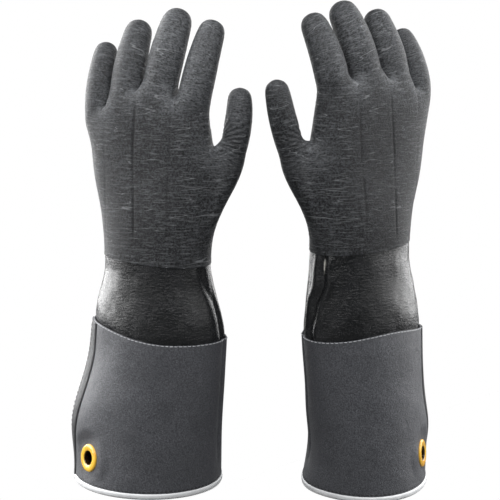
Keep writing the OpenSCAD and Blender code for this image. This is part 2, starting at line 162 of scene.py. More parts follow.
def unit(v):
    v = np.asarray(v, float)
    return v / np.linalg.norm(v, axis=-1, keepdims=True)


def hill(x, middle, width):
    """A smooth hill of height 1."""
    return np.exp(-(((x - middle) / width) ** 2))


def place(side, points):
    """Points of one glove in the row frame, in metres."""
    p = np.asarray(points, float)
    c, s = math.cos(TURN[side]), math.sin(TURN[side])
    x = p[..., 0] * c + p[..., 1] * s
    y = -p[..., 0] * s + p[..., 1] * c
    if side == "right":
        x = -x
    return np.stack([x + GLOVE_X[side], y + GLOVE_Y, p[..., 2]], -1) / 1000


def unplace(side, points):
    """The reverse of place()."""
    p = np.asarray(points, float) * 1000
    x, y = p[..., 0] - GLOVE_X[side], p[..., 1] - GLOVE_Y
    if side == "right":
        x = -x
    c, s = math.cos(TURN[side]), math.sin(TURN[side])
    return np.stack([x * c - y * s, x * s + y * c, p[..., 2]], -1)


def noise(p, seed=0):
    """Smooth value noise from -1 to 1 at points (n, 3), the same on every run."""
    cell = np.floor(p).astype(np.int64)
    f = p - cell
    f = f * f * (3 - 2 * f)
    total = np.zeros(len(p))
    for corner in itertools.product((0, 1), repeat=3):
        q = cell + np.array(corner)
        h = q[:, 0] * 374761393 + q[:, 1] * 668265263 + q[:, 2] * 974634777 + seed * 144665
        h = (h ^ (h >> 13)) * 1274126177
        h = ((h ^ (h >> 16)) & 0xFFFF) / 32767.5 - 1
        weight = np.prod(np.where(np.array(corner) == 1, f, 1 - f), axis=1)
        total += weight * h
    return total


def new_mesh(name, points, faces):
    mesh = bpy.data.meshes.new(name)
    mesh.from_pydata(np.asarray(points).tolist(), [], [list(map(int, f)) for f in faces])
    mesh.validate()
    mesh.polygons.foreach_set("use_smooth", [True] * len(mesh.polygons))
    mesh.update()
    return mesh


def new_object(name, data):
    obj = bpy.data.objects.new(name, data)
    bpy.context.scene.collection.objects.link(obj)
    return obj


def mesh_points(mesh):
    co = np.empty(len(mesh.vertices) * 3)
    mesh.vertices.foreach_get("co", co)
    return co.reshape(-1, 3)


def mesh_normals(mesh):
    no = np.empty(len(mesh.vertices) * 3)
    mesh.vertex_normals.foreach_get("vector", no)
    return no.reshape(-1, 3)


def set_attribute(mesh, name, values):
    """Stores a number or a vector for each point."""
    kind, field = ("FLOAT", "value") if np.ndim(values) == 1 else ("FLOAT_VECTOR", "vector")
    layer = mesh.attributes.get(name) or mesh.attributes.new(name, kind, "POINT")
    layer.data.foreach_set(field, np.ravel(values).astype(np.float32))


def grid_faces(rows, columns, closed=True, ring=False):
    """Quads of a grid of points, rows going up and columns going round. A ring's last row joins its first."""
    faces = []
    for j in range(rows if ring else rows - 1):
        low, high = j * columns, (j + 1) % rows * columns
        for i in range(columns if closed else columns - 1):
            after = (i + 1) % columns
            faces.append((low + i, low + after, high + after, high + i))
    return faces


def full_turn(count):
    return np.linspace(0, 2 * math.pi, count, endpoint=False)


def evaluated_mesh(obj):
    """A new mesh with the object's modifiers applied."""
    bpy.context.view_layer.update()
    return bpy.data.meshes.new_from_object(obj.evaluated_get(bpy.context.evaluated_depsgraph_get()))


def glove_piece(side, name, node, points, faces, material, turned_side=None):
    """A piece fixed to its glove, with its faces turned over on the side where they would face inwards."""
    mesh = new_mesh(f"{side}_{name}", place(side, points), faces)
    if side == turned_side:
        mesh.flip_normals()
    set_attribute(mesh, "grain", points)
    obj = new_object(f"{side}_{name}", mesh)
    give(obj, material)
    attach(obj, f"{side}_glove")
    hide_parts(f"{side}_{node}")
    return obj


# ---- Hand cage ----


def web_centre(side):
    r = ROOTS[side]
    return (r[3] + ROOT_RADII[3] + r[0] - ROOT_RADII[0]) / 2


def web_half(side):
    r = ROOTS[side]
    return np.array(((r[3] + ROOT_RADII[3] - r[0] + ROOT_RADII[0]) / 2, WEB_DEPTH))


def web_height(side, x):
    u = (x - web_centre(side)) / web_half(side)[0]
    return WEB[side] + WEB_ARCH[side] * (1 - np.abs(u) ** 1.2) + WEB_TILT[side] * u


def web_place(side, k):
    r = ROOTS[side]
    return (r[k] + ROOT_RADII[k] + r[k + 1] - ROOT_RADII[k + 1]) / 2


def root(side, f):
    x = ROOTS[side][f]
    if f == THUMB:
        return np.array((x, THUMB_Y, CROTCH))
    return np.array((x, FINGER_Y, web_height(side, x)))


def finger_length(side, f):
    return TIP_HEIGHTS[side][f] - root(side, f)[2]


def finger_radius(f, s):
    return lerp(ROOT_RADII[f], TIP_RADII[f], s) + FINGER_SWELL * 4 * s * (1 - s)


def finger_centre(side, f, s):
    a = root(side, f)
    return np.array(
        (
            lerp(a[0], TIPS[side][f], s) + BOWS[f] * 4 * s * (1 - s),
            a[1] + CURLS[f] * s * s,
            lerp(a[2], TIP_HEIGHTS[side][f], s),
        )
    )


def finger_heading(side, f, s):
    return unit(finger_centre(side, f, s + 0.01) - finger_centre(side, f, s - 0.01))


def crease_half(side, f):
    return CREASE_REACH[f] * finger_radius(f, CREASE) / finger_length(side, f)


def finger_ring(side, f, s, inset, dome=0.0):
    """Ring of points round a finger, lifted along its heading by part of a dome."""
    heading = finger_heading(side, f, s)
    across = unit((heading[2], 0, -heading[0]))
    ahead = np.cross(heading, across)
    r = finger_radius(f, s) - inset
    centre = finger_centre(side, f, s) + r * math.sin(dome) * heading
    start = 1.5 if f == 0 else -5.5
    angles = (start + np.arange(FINGER_SIDES)) * 2 * math.pi / FINGER_SIDES
    ring = r * math.cos(dome)
    return centre + ring * (np.cos(angles)[:, None] * across + np.sin(angles)[:, None] * ahead)


def spread(x, n):
    return np.sign(x) * np.abs(x) ** n


def oval(half, angles, square):
    return np.stack(
        [half[0] * spread(np.cos(angles), 2 / square), half[1] * spread(np.sin(angles), 2 / square)], -1
    )


PALM_SQUARE = 2.6
WRIST_SQUARE = 2.2


def palm_angles(side):
    def angle(x):
        u = (x - web_centre(side)) / web_half(side)[0]
        return math.acos(spread(u, PALM_SQUARE / 2))

    webs = [web_place(side, k) for k in range(3)]
    thumb_side, little_side = angle(webs[2]), angle(webs[0])
    back = [-angle(lerp(webs[k], webs[k + 1], i / 4)) for k in (0, 1) for i in range(4)]
    side_arc = [lerp(-thumb_side, thumb_side, i / 11) for i in range(11)]
    front = [angle(lerp(webs[k + 1], webs[k], i / 4)) for k in (1, 0) for i in range(4)]
    far_arc = [lerp(little_side, 2 * math.pi - little_side, i / 11) for i in range(11)]
    return np.array(back + side_arc + front + far_arc)


def heel_angles(side):
    a = palm_angles(side)
    joined = [lerp(a[THUMB_BACK], a[THUMB_FRONT], i / 11) for i in range(1, 11)]
    return np.concatenate([a[: THUMB_BACK + 1], joined, a[THUMB_FRONT:]])


def palm_loop(side, level, inset):
    half = lerp(np.array((PALM_WIDTH[side], PALM_DEPTH)), web_half(side), level) - inset
    centre = np.array((lerp(PALM_X[side], web_centre(side), level), lerp(0, FINGER_Y, level)))
    p = centre + oval(half, palm_angles(side), PALM_SQUARE)
    return np.column_stack([p, lerp(CROTCH, web_height(side, p[:, 0]), level)])


def crotch_loop(side, inset):
    around = palm_loop(side, 0, inset)
    thumb = finger_ring(side, THUMB, 0, inset)
    return np.vstack([around[: THUMB_BACK + 1], thumb[1:11], around[THUMB_FRONT:]])


def wrist_half(z):
    return WRIST + WRIST_FLARE * max(0, WRIST_HEIGHT - z)


def heel_loop(side, z, inset):
    part = smooth((z - HEEL_FOOT) / (CROTCH - HEEL_FOOT)) ** HEEL_SPREAD[side]
    p = np.array((WRIST_X, 0)) + oval(wrist_half(z) - inset, heel_angles(side), WRIST_SQUARE)
    outline = crotch_loop(side, inset)
    tilt = DIP_TILT[side] * np.clip((CROTCH - z) / (CROTCH - DIP_LINE[side]), 0, 1)
    low = np.column_stack([p, z - tilt * (p[:, 0] - WRIST_X)])
    high = outline + np.array((0, 0, z - CROTCH))
    return lerp(low, high, part)


def bridge(a, b, rise):
    return [lerp(a, b, u) + np.array((0, 0, rise)) for u in (1 / 3, 2 / 3)]


class Cage:
    """Points, faces and per-point distance along the hand, with one region number per face."""

    def __init__(self):
        self.points, self.along, self.faces, self.region = [], [], [], []

    def add(self, points, along=None):
        start = len(self.points)
        points = [np.asarray(p) for p in points]
        self.points += points
        self.along += [p[2] for p in points] if along is None else [along] * len(points)
        return list(range(start, len(self.points)))

    def strip(self, low, high, region):
        n = len(low)
        for i in range(n):
            self.faces.append((low[i], low[(i + 1) % n], high[(i + 1) % n], high[i]))
            self.region.append(region)

    def fan(self, loop, pole, region):
        n = len(loop)
        for i in range(n):
            self.faces.append((loop[i], loop[(i + 1) % n], pole))
            self.region.append(region)


PALM_REGION = 5
STUB_MARGIN = 1.5  # how far below the bending zone a finger piece begins


def hand_cage(side, levels, inset):
    """Closed-fingered hand skin, open at the wrist; regions 0 to 4 are the fingers beyond their stubs."""
    cage = Cage()
    growth = inset - CAGE_GROWTH
    heels = [cage.add(heel_loop(side, z, growth)) for z in levels]
    for low, high in zip(heels, heels[1:]):
        cage.strip(low, high, PALM_REGION)
    outline = heels[-1]
    thumb_end = HEEL_SIDES - PALM_SIDES + THUMB_FRONT
    crotch = crotch_loop(side, growth)
    cross = cage.add(bridge(crotch[THUMB_BACK], crotch[thumb_end], THUMB_RISE[side] - inset))
    low = outline[: THUMB_BACK + 1] + cross + outline[thumb_end:]
    for level in (0.35, 0.7, 1):
        high = cage.add(palm_loop(side, level, growth))
        cage.strip(low, high, PALM_REGION)
        low = high
    top, top_points = low, palm_loop(side, 1, growth)
    webs = []
    for back, front in zip(WEB_BACKS, WEB_FRONTS):
        webs.append(cage.add(bridge(top_points[back], top_points[front], WEB_RISE + 1 - inset)))
    b, t = WEB_BACKS, WEB_FRONTS
    bases = [
        top[t[0]:] + [top[0]] + webs[0],
        top[b[0]: b[1] + 1] + webs[1] + top[t[1]: t[0] + 1] + webs[0][::-1],
        top[b[1]: b[2] + 1] + webs[2] + top[t[2]: t[1] + 1] + webs[1][::-1],
        top[b[2]: t[2] + 1] + webs[2][::-1],
        outline[THUMB_BACK: thumb_end + 1] + cross[::-1],
    ]
    for f, low in enumerate(bases):
        start, length = root(side, f)[2], finger_length(side, f)
        split = CREASE - crease_half(side, f) - STUB_MARGIN / length
        rings = [(s, PALM_REGION) for s in (0.13, split)]
        rings += [(s, f) for s in np.linspace(split, 1, 8)[1:]]
        for s, region in rings:
            high = cage.add(finger_ring(side, f, s, growth), start + s * length)
            cage.strip(low, high, region)
            low = high
        for dome in (0.45, 0.9):
            lift = start + length + 10 * math.sin(dome)
            high = cage.add(finger_ring(side, f, 1, growth, dome), lift)
            cage.strip(low, high, f)
            low = high
        peak = finger_centre(side, f, 1) + (finger_radius(f, 1) - growth) * finger_heading(side, f, 1)
        cage.fan(low, cage.add([peak], start + length + 10)[0], f)
    return cage


def subdivided(cage, levels):
    """The cage's smooth surface, with along as an attribute and the region as the material index."""
    mesh = new_mesh("cage", cage.points, cage.faces)
    set_attribute(mesh, "along", cage.along)
    for _ in range(6):
        mesh.materials.append(None)
    mesh.polygons.foreach_set("material_index", cage.region)
    obj = new_object("cage", mesh)
    modifier = obj.modifiers.new("subdivision", "SUBSURF")
    modifier.levels = levels
    modifier.boundary_smooth = "ALL"
    result = evaluated_mesh(obj)
    bpy.data.objects.remove(obj)
    bpy.data.meshes.remove(mesh)
    return result


def split_regions(mesh):
    """Each region's number, the points that it uses and its faces. The mesh is used up."""
    region = np.empty(len(mesh.polygons), int)
    mesh.polygons.foreach_get("material_index", region)
    corners = np.array([tuple(f.vertices) for f in mesh.polygons])
    bpy.data.meshes.remove(mesh)
    parts = []
    for r in range(PALM_REGION + 1):
        faces = corners[region == r]
        used, inverse = np.unique(faces, return_inverse=True)
        parts.append((r, used, inverse.reshape(faces.shape)))
    return parts


def back_creases(side, p, normal):
    """Strength from 0 to 1 of the faint creases that run down the back from the finger webs, which sets their
    depth and the painted shade in them.
    """
    x, _, z = p.T
    back = smooth((-normal[:, 1] - 0.1) / 0.5)
    total = np.zeros(len(p))
    for k, strength in ((0, 0.5), (1, 1.0), (2, 0.6)):
        wander = 0.9 * np.sin(z / 19 + 2 * k) + 1.5 * smooth((300 - z) / 90)
        line = x - web_place(side, k) - wander
        top = web_height(side, web_place(side, k))
        fade = smooth((z - 208 - 6 * k) / 20) * smooth((top + 4 - z) / 12)
        broken = 0.6 + 0.6 * noise(np.column_stack([z * 0.06, x * 0, x * 0 + k]), 61)
        total += strength * back * fade * np.clip(broken, 0, 1) * hill(line, 0, 1.0)
    return total


def hand_shade(side, p):
    """Painted shade down the middle of the hand, from 0 to 1, which darkens the coating's colour there."""
    x, _, z = p.T
    middle = hill(x, 12, 30) * smooth((z - 200) / 20) * smooth((web_height(side, x) - z) / 40)
    return {"left": 0.3, "right": 0.55}[side] * middle


def hand_detail(side, p, along, normal):
    """How far the dipped coating stands out of its smooth form, in mm."""
    x, y, z = p.T
    depth = -0.55 * back_creases(side, p, normal)
    # fine wrinkles across the fingers and the hand
    q = np.column_stack([x * 0.05, y * 0.05, along * 0.42])
    ridge = 1 - np.abs(noise(q, 3)) * 2
    patch = smooth(noise(p * 0.035, 8) + 0.55)
    depth += 0.16 * np.clip(ridge, 0, 1) ** 3 * patch
    q = np.column_stack([x * 0.11, y * 0.11, along * 0.95])
    depth += 0.07 * noise(q, 5)
    # wrinkles that fan out from the thumb's crotch
    centre = np.array((ROOTS[side][THUMB] - 14, -12, CROTCH + 8))
    dx, dz = x - centre[0], z - centre[2]
    angle = np.arctan2(dz, dx)
    reach = np.sqrt(dx * dx + dz * dz + 9)
    fan = np.sin(angle * 34 + 2.5 * noise(p * 0.09, 11)) * smooth((y + 30) / 4)
    depth += 0.34 * fan * hill(reach, 20, 13) * smooth((14 - y) / 20) * smooth((x - centre[0] + 12) / 12)
    # slow unevenness of a dipped film
    depth += 0.3 * noise(p * 0.045, 21)
    return depth


def hand_skin(side):
    """The outer coating as one palm piece and five finger pieces, with matching normals at the cuts."""
    foot = DIP_LINE[side]
    levels = [foot - 1] + [lerp(foot, CROTCH, u) for u in (0.04, 0.2, 0.38, 0.55, 0.72, 0.87, 1)]
    mesh = subdivided(hand_cage(side, levels, 0), 3)
    p = mesh_points(mesh)
    along = np.empty(len(p))
    mesh.attributes["along"].data.foreach_get("value", along)
    normal = mesh_normals(mesh)
    p = p + normal * hand_detail(side, p, along, normal)[:, None]
    mesh.vertices.foreach_set("co", p.ravel())
    mesh.update()
    normal = mesh_normals(mesh)
    for r, used, faces in split_regions(mesh):
        points, normals, way = p[used], normal[used], along[used]
        if r == PALM_REGION:
            points, faces, normals, way = with_lip(side, points, faces, normals, way)
        skin_piece(side, r, points, faces, normals, way)


def with_lip(side, points, faces, normals, along):
    """Turns the coating's lower edge in to the sleeve, as the rounded edge of a dipped film."""
    faces = [tuple(f) for f in faces]
    edges = dict.fromkeys((a, b) for f in faces for a, b in zip(f, f[1:] + f[:1]))
    low = points[:, 2] < DIP_LINE[side] + 9
    follow = {a: b for a, b in edges if (b, a) not in edges and low[a] and low[b]}
    loop = [next(iter(follow))]
    while follow[loop[-1]] != loop[0]:
        loop.append(follow[loop[-1]])
    previous = loop
    for inward, down in ((0.25, 0.55), (0.75, 0.75), (1.5, 0.6)):
        start = len(points)
        ring = points[loop] - normals[loop] * inward - np.array((0, 0, down))
        points = np.vstack([points, ring])
        tilt = 0.25 + inward * 0.6
        normals = np.vstack([normals, unit(normals[loop] - np.array((0, 0, tilt)))])
        along = np.concatenate([along, along[loop]])
        ids = list(range(start, start + len(loop)))
        n = len(loop)
        faces += [(previous[(i + 1) % n], previous[i], ids[i], ids[(i + 1) % n]) for i in range(n)]
        previous = ids
    return points, faces, normals, along


def skin_piece(side, region, points, faces, normals, along):
    name = f"{side}_{'palm' if region == PALM_REGION else FINGERS[region]}_skin"
    mesh = new_mesh(name, place(side, points), faces)
    if side == "right":
        mesh.flip_normals()
    set_attribute(mesh, "grain", np.column_stack([points[:, 0], points[:, 1], along]))
    set_attribute(mesh, "wear", wear_and_painted_light(side, points, normals))
    # dark is painted shade: it darkens the colour in the back creases and down the middle of the hand
    dark = np.clip(back_creases(side, points, normals) + hand_shade(side, points), 0, 1)
    set_attribute(mesh, "dark", dark)
    outward = place(side, points + normals) - place(side, points)
    mesh.normals_split_custom_set_from_vertices(unit(outward).tolist())
    obj = new_object(name, mesh)
    give(obj, "rough_neoprene")
    if region == PALM_REGION:
        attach(obj, f"{side}_glove")
        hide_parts(f"{side}_palm_shell")
    else:
        bend(obj)
        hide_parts(f"{side}_{FINGERS[region]}_stall", f"{side}_{FINGERS[region]}_knuckle")


def wear_and_painted_light(side, points, normals):
    """More light speckle of wear round the finger webs, and on the back of the fingers, where it is partly
    painted light that brightens them.
    """
    x, _, z = points.T
    back = smooth((-normals[:, 1] + 0.2) / 0.8)
    webs = [web_place(side, k) for k in range(3)]
    spots = sum(hill(x, web, 9) * hill(z, web_height(side, web) - 2, 13) for web in webs)
    thumb = hill(x, ROOTS[side][THUMB] - 10, 14) * hill(z, CROTCH - 2, 16)
    # partly painted light: the speckle's strength on each finger brightens it as the light it catches
    fingers = np.interp(x, ROOTS[side], FINGER_WEAR_AND_LIGHT[side])
    fingers = fingers * smooth((z - web_height(side, x) + 12) / 30)
    return back * np.clip(0.8 * spots + 0.7 * thumb + fingers, 0, 1)


def bend(obj):
    """Bakes a finger piece's placement into its mesh."""
    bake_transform(obj)


def hand_lining(side):
    """The knit liner inside the hand, from inside the sleeve to the fingertips."""
    levels = (122, 140, 165, 193, 220, 250, 275, CROTCH)
    mesh = subdivided(hand_cage(side, levels, COATING + LINING), 1)
    p = mesh_points(mesh)
    p = p + mesh_normals(mesh) * 0.5 * noise(p * 0.08, 31)[:, None]
    for r, used, faces in split_regions(mesh):
        part = "palm" if r == PALM_REGION else FINGERS[r]
        liner = new_mesh(f"{side}_{part}_liner", place(side, p[used]), faces)
        if side == "left":
            liner.flip_normals()
        obj = new_object(f"{side}_{part}_liner", liner)
        give(obj, "knit_lining")
        if r == PALM_REGION:
            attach(obj, f"{side}_glove")
        else:
            bend(obj)
        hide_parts(f"{side}_{part}_lining")


# ---- Sleeve ----


def sleeve_detail(side, angle, z, points):
    """Folds and ripples of the glossy sleeve, in mm."""
    span = smooth((z - 120) / 20) * smooth((DIP_LINE[side] + 2 - z) / 14)
    swirl = points + np.column_stack([z * 0.35, z * 0, z * 0])
    q = np.column_stack([swirl[:, 0] * 0.16, swirl[:, 1] * 0.16, z * 0.1])
    depth = 0.28 * noise(q, 41) * span + 0.5 * noise(points * 0.04, 43) * span
    groove = z - seam_height(side, angle)
    depth -= 0.5 * hill(groove, 0, 2.5)
    if side == "right":
        sway = 0.05 * np.sin(z / 11) + 0.02 * np.sin(z / 4.3)
        fold = angle - (-0.2 + (200 - z) * 0.0036 + sway)
        ridges = 1.3 * hill(fold, 0.2, 0.1) - 2.6 * hill(fold, 0, 0.08) + 1.7 * hill(fold, -0.17, 0.09)
        depth += span * ridges
        depth += span * 0.5 * hill(angle, -1.9, 0.3) * np.sin(z / 6)
    else:
        fold = angle - (-0.1 - (z - 165) * 0.005 + 0.05 * np.sin(z / 8))
        depth -= span * 1.3 * hill(fold, 0, 0.1)
        depth += span * 0.8 * hill(fold, -0.2, 0.12)
        depth += span * 0.6 * hill(angle, -2.5, 0.35) * np.sin(z / 8)
    return depth


def sleeve_ring(side, angles, level):
    """A ring of the sleeve, which widens from the wrist to the seam where the gauntlet holds it."""
    seam = cuff_surface(side, angles, seam_height(side, angles) - 2, 2 * HEM + 0.15)
    top = DIP_LINE[side] + 3
    z = lerp(seam[:, 2] - 8, top, level)
    neck = np.array((WRIST_X, 0)) + oval(wrist_half(top) - 0.4, angles, WRIST_SQUARE)
    part = smooth((top - z) / (top - seam[:, 2])) ** 1.15
    return np.column_stack([lerp(neck, seam[:, :2], part[:, None]), z])


def sleeve(side):
    rows, columns = ((110, 240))
    angles = np.linspace(-math.pi, math.pi, columns, endpoint=False)
    points, grain = [], []
    for level in np.linspace(0, 1, rows):
        ring = sleeve_ring(side, angles, level)
        half = wrist_half(160)
        out = unit(np.column_stack([np.cos(angles) / half[0], np.sin(angles) / half[1], angles * 0]))
        depth = sleeve_detail(side, angles, ring[:, 2], ring)
        points.append(ring + out * depth[:, None])
        grain.append(ring)
    faces = grid_faces(rows, columns)
    points = np.vstack(points)
    obj = glove_piece(side, "sleeve", "wrist_sleeve", points, faces, "glossy_neoprene", "right")
    set_attribute(obj.data, "grain", np.vstack(grain))


# ---- Cuff ----


def ellipse_radius(half_x, half_y, turn, angle):
    u = angle - math.radians(turn)
    return half_x * half_y / np.sqrt((half_y * np.cos(u)) ** 2 + (half_x * np.sin(u)) ** 2)


def seam_height(side, angle):
    """The gauntlet's sewn top edge, which dips on the back and rises on the outer side."""
    mean, fall, lift = SEAM[side]
    return mean - fall * np.cos(angle) + lift * np.cos(2 * angle)


def turned(angle, degrees):
    """How far an angle lies from one given in degrees, from -pi to pi."""
    return (angle - math.radians(degrees) + math.pi) % (2 * math.pi) - math.pi


def cuff_shape(side, angle, z):
    """How far the cuff stands out of its straight form, in mm."""
    if side == "left":
        depth = 7.0 * hill(turned(angle, 200), 0, 0.5) * hill(z, 56, 32)
        depth -= 1.0 * hill(turned(angle, 350), 0, 0.7) * hill(z, 55, 32)
        depth -= 2.0 * hill(turned(angle, 215), 0, 0.5) * hill(z, 118, 20)
    else:
        depth = -3.8 * hill(turned(angle, 20), 0, 0.55) * (hill(z, 38, 26) + 0.5 * hill(z, 85, 30))
        depth += 4.5 * hill(turned(angle, 5), 0, 0.5) * hill(z, 3, 15)
        depth += 4.0 * hill(turned(angle, 208), 0, 0.5) * hill(z, 46, 23)
    fold = turned(angle, math.degrees(CUFF_FOLD[side]))
    reach = smooth((z - 12) / 30)
    return depth + reach * (0.8 * hill(fold, 0.1, 0.07) - 1.5 * hill(fold, 0, 0.045))


def cuff_surface(side, angle, z, inset=0.0):
    """Points of the cuff's outer surface, set in by inset."""
    angle, z = np.broadcast_arrays(np.asarray(angle, float), np.asarray(z, float))
    level = z / GAUNTLET_TOP[side]
    head = ellipse_radius(*GAUNTLET_HEAD[side], 0, angle)
    foot = ellipse_radius(*RIM[side], angle)
    middle = lerp(CUFF_X[side][0], CUFF_X[side][1], level)
    r = lerp(foot, head, level) + cuff_shape(side, angle, z) - inset
    p = np.stack([middle + r * np.cos(angle), r * np.sin(angle), z], -1)
    flat = p.reshape(-1, 3)
    flat = flat + 0.45 * unit(flat * (1, 1, 0)) * noise(flat * 0.03, 51)[:, None]
    centre, normal = eyelet_frame(side)
    off = flat - centre
    height = off @ normal
    across = np.linalg.norm(off - height[:, None] * normal, axis=1)
    near = (1 - smooth((across - 12) / 14)) * (np.abs(height) < 25)
    flat = flat - (near * (height + inset))[:, None] * normal
    return flat.reshape(p.shape)


def eyelet_frame(side):
    """The eyelet's centre and outward direction, from the frame's mount."""
    mount = next(m for m in frame["record"]["mounts"] if m["name"] == f"{side}_eyelet_hole")
    centre = unplace(side, np.array(mount["pos_m"]))
    ahead = unplace(side, np.array(mount["pos_m"]) + 0.001 * np.array(mount["axis"]))
    return centre, unit(ahead - centre)


def cuff_normal(side, angle, z):
    a = cuff_surface(side, angle + 0.01, z) - cuff_surface(side, angle - 0.01, z)
    b = cuff_surface(side, angle, z + 0.5) - cuff_surface(side, angle, z - 0.5)
    return unit(np.cross(a, b))


def revolve(side, name, node, loops, material, ring=False):
    """A closed band through a list of equal loops."""
    faces = grid_faces(len(loops), len(loops[0]), ring=ring)
    return glove_piece(side, name, node, np.vstack(loops), faces, material, "right")


def cut_hole(obj, side, radius):
    """Cuts the eyelet's hole through a cuff layer."""
    centre, normal = eyelet_frame(side)
    bpy.ops.mesh.primitive_cylinder_add(vertices=48, radius=radius / 1000, depth=0.03)
    tool = bpy.context.object
    start = place(side, centre)
    direction = Vector(place(side, centre + normal) - start)
    tool.matrix_world = direction.to_track_quat("Z", "Y").to_matrix().to_4x4()
    tool.location = Vector(start)
    modifier = obj.modifiers.new("hole", "BOOLEAN")
    modifier.object = tool
    modifier.operation = "DIFFERENCE"
    modifier.solver = "EXACT"
    cut = evaluated_mesh(obj)
    obj.modifiers.remove(modifier)
    obj.data = cut
    bpy.data.objects.remove(tool)
    set_attribute(cut, "grain", unplace(side, mesh_points(cut)))


def gauntlet(side):
    """The coated-fabric panel, from the rim to a rounded top edge that turns in to the sleeve."""
    rows, columns = ((90, 288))
    angles = full_turn(columns)
    top = seam_height(side, angles)
    loops = [cuff_surface(side, angles, lerp(RIM_ROLL - 1.4, top - HEM, v)) for v in np.linspace(0, 1, rows)]
    for turn in np.radians((30, 60, 90, 120, 150, 180)):
        inset = HEM * (1 - math.cos(turn))
        loops.append(cuff_surface(side, angles, top - HEM + HEM * math.sin(turn), inset))
    loops += [cuff_surface(side, angles, top - HEM - drop, 2 * HEM) for drop in (2, 6, 12)]
    obj = revolve(side, "gauntlet_panel", "gauntlet", loops, "coated_fabric")
    thicken(obj, FABRIC)
    cut_hole(obj, side, BARREL_HOLE)


def thicken(obj, depth):
    """Gives an open sheet a closed thickness in mm, inwards from its surface."""
    modifier = obj.modifiers.new("thickness", "SOLIDIFY")
    modifier.thickness = depth / 1000
    modifier.offset = -1
    solid = evaluated_mesh(obj)
    obj.modifiers.remove(modifier)
    obj.data = solid


def gauntlet_lining(side):
    """The fabric inside the cuff, closed against the sleeve at its upper end."""
    rows, columns = 40, 120
    angles = full_turn(columns)
    loops = [cuff_surface(side, angles, lerp(2.5, LINING_BEND, v), 2.7) for v in np.linspace(0, 1, rows)]
    half = wrist_half(LINING_TOP) - (COATING + LINING)
    inner = np.array((WRIST_X, 0)) + oval(half, angles, WRIST_SQUARE)
    inner = np.column_stack([inner, np.full(columns, float(LINING_TOP))])
    last = loops[-1]
    for t in (0.25, 0.5, 0.75, 1):
        loops.append(lerp(last, inner, t) + np.array((0, 0, 3 * math.sin(math.pi * t))))
    obj = revolve(side, "cuff_lining", "gauntlet_lining", loops, "cuff_lining")
    thicken(obj, FABRIC)
    cut_hole(obj, side, BARREL_HOLE)


def rim_binding(side):
    """White folded welt that wraps the open edge."""
    angles = full_turn(288)
    half, corner = RIM_ROLL / 2, 1.5
    profile = []
    for quarter in range(4):
        for turn in np.linspace(0, 90, 5):
            a = math.radians(quarter * 90 + turn)
            corner_x = (1 if quarter in (0, 3) else -1) * (half - corner)
            corner_z = (1 if quarter in (0, 1) else -1) * (half - corner)
            profile.append((corner_x + corner * math.cos(a), corner_z + corner * math.sin(a)))
    loops = []
    for x, z in profile:
        loop = cuff_surface(side, angles, half, 1.3 - x)
        loop[:, 2] = half + z
        loops.append(loop)
    revolve(side, "rim_welt", "rim_binding", loops, "white_binding", ring=True)


def lap_place(side, v, u):
    """A point of the side lap, v up the cuff and u across it from its front edge, with its normal."""
    front = math.radians(206 + 3 * math.sin(math.pi * v) ** 2)
    angle = front - LAP_WIDTH * u
    z = lerp(RIM_ROLL - 0.6, float(seam_height(side, angle)) - 0.4, v)
    edge = math.sqrt(max(0, 1 - (2 * u - 1) ** 12))
    lift = 1.5 * edge + 1.3 * math.sin(math.pi * v) ** 2 * float(smooth(3 * u)) * edge - 0.3
    return cuff_surface(side, angle, z, -lift), cuff_normal(side, angle, z)


def side_lap(side):
    """The folded lap that closes the panel down its outer side, standing a little proud."""
    rows, across = 90, 21
    points = [
        lap_place(side, v, k / (across - 1))[0] for v in np.linspace(0, 1, rows) for k in range(across)
    ]
    faces = grid_faces(rows, across, closed=False)
    obj = glove_piece(side, "lap_strip", "side_lap", points, faces, "coated_fabric", "left")
    # Painted shade: the lap's colour is darkened as though it lay on the shadow side of the fold
    set_attribute(obj.data, "shade", np.ones(len(points)))
    thicken(obj, LAP_FABRIC)


def eyelet(side):
    """Domed eyelet with its rolled barrel, and the washer inside."""
    hole, outer, dome, barrel, shoulder = 6.0, 12.2, 1.7, 7.0, 7.4
    profile = [(barrel, -3.8), (barrel, -0.4), (outer - 0.5, -0.5), (outer, -0.1)]
    for a in np.radians((15, 35, 55, 75)):
        profile.append((lerp(10.0, outer, math.cos(a)), lerp(0.2, dome, math.sin(a))))
    profile += [(9.4, dome + 0.1), (8.4, dome + 0.05), (shoulder, dome - 0.15)]
    for a in np.radians((30, 50, 70, 90)):
        profile.append((lerp(shoulder, hole, math.sin(a)), dome - 0.15 - 1.2 * (1 - math.cos(a))))
    profile += [(hole, -3.0), (hole + 0.1, -3.9), (hole + 0.6, -4.1), (barrel, -3.8)]
    lathe(side, "eyelet_ring", "eyelet", profile)
    bore = 7.05
    washer = [(bore, -3.8), (10.5, -3.8), (10.8, -3.5), (10.8, -3.0), (10.5, -2.8)]
    washer += [(bore, -2.8), (bore, -3.8)]
    lathe(side, "eyelet_backing", "eyelet_washer", washer)


def lathe(side, name, node, profile):
    """A ring round the eyelet's axis, from a profile of radius and height."""
    centre, normal = eyelet_frame(side)
    columns = 96
    across = unit(np.cross(normal, (0, 0, 1)))
    upward = np.cross(normal, across)
    angles = full_turn(columns)
    spokes = np.cos(angles)[:, None] * across + np.sin(angles)[:, None] * upward
    points = np.vstack([centre + r * spokes + h * normal for r, h in profile])
    faces = grid_faces(len(profile), columns)
    obj = glove_piece(side, name, node, points, faces, "yellow_eyelet", "left")
    # Painted shade inside the hole: bore darkens the colour of the barrel's inner wall
    bore = [smooth((6.9 - r) / 0.8) for r, h in profile]
    set_attribute(obj.data, "bore", np.repeat(bore, columns))


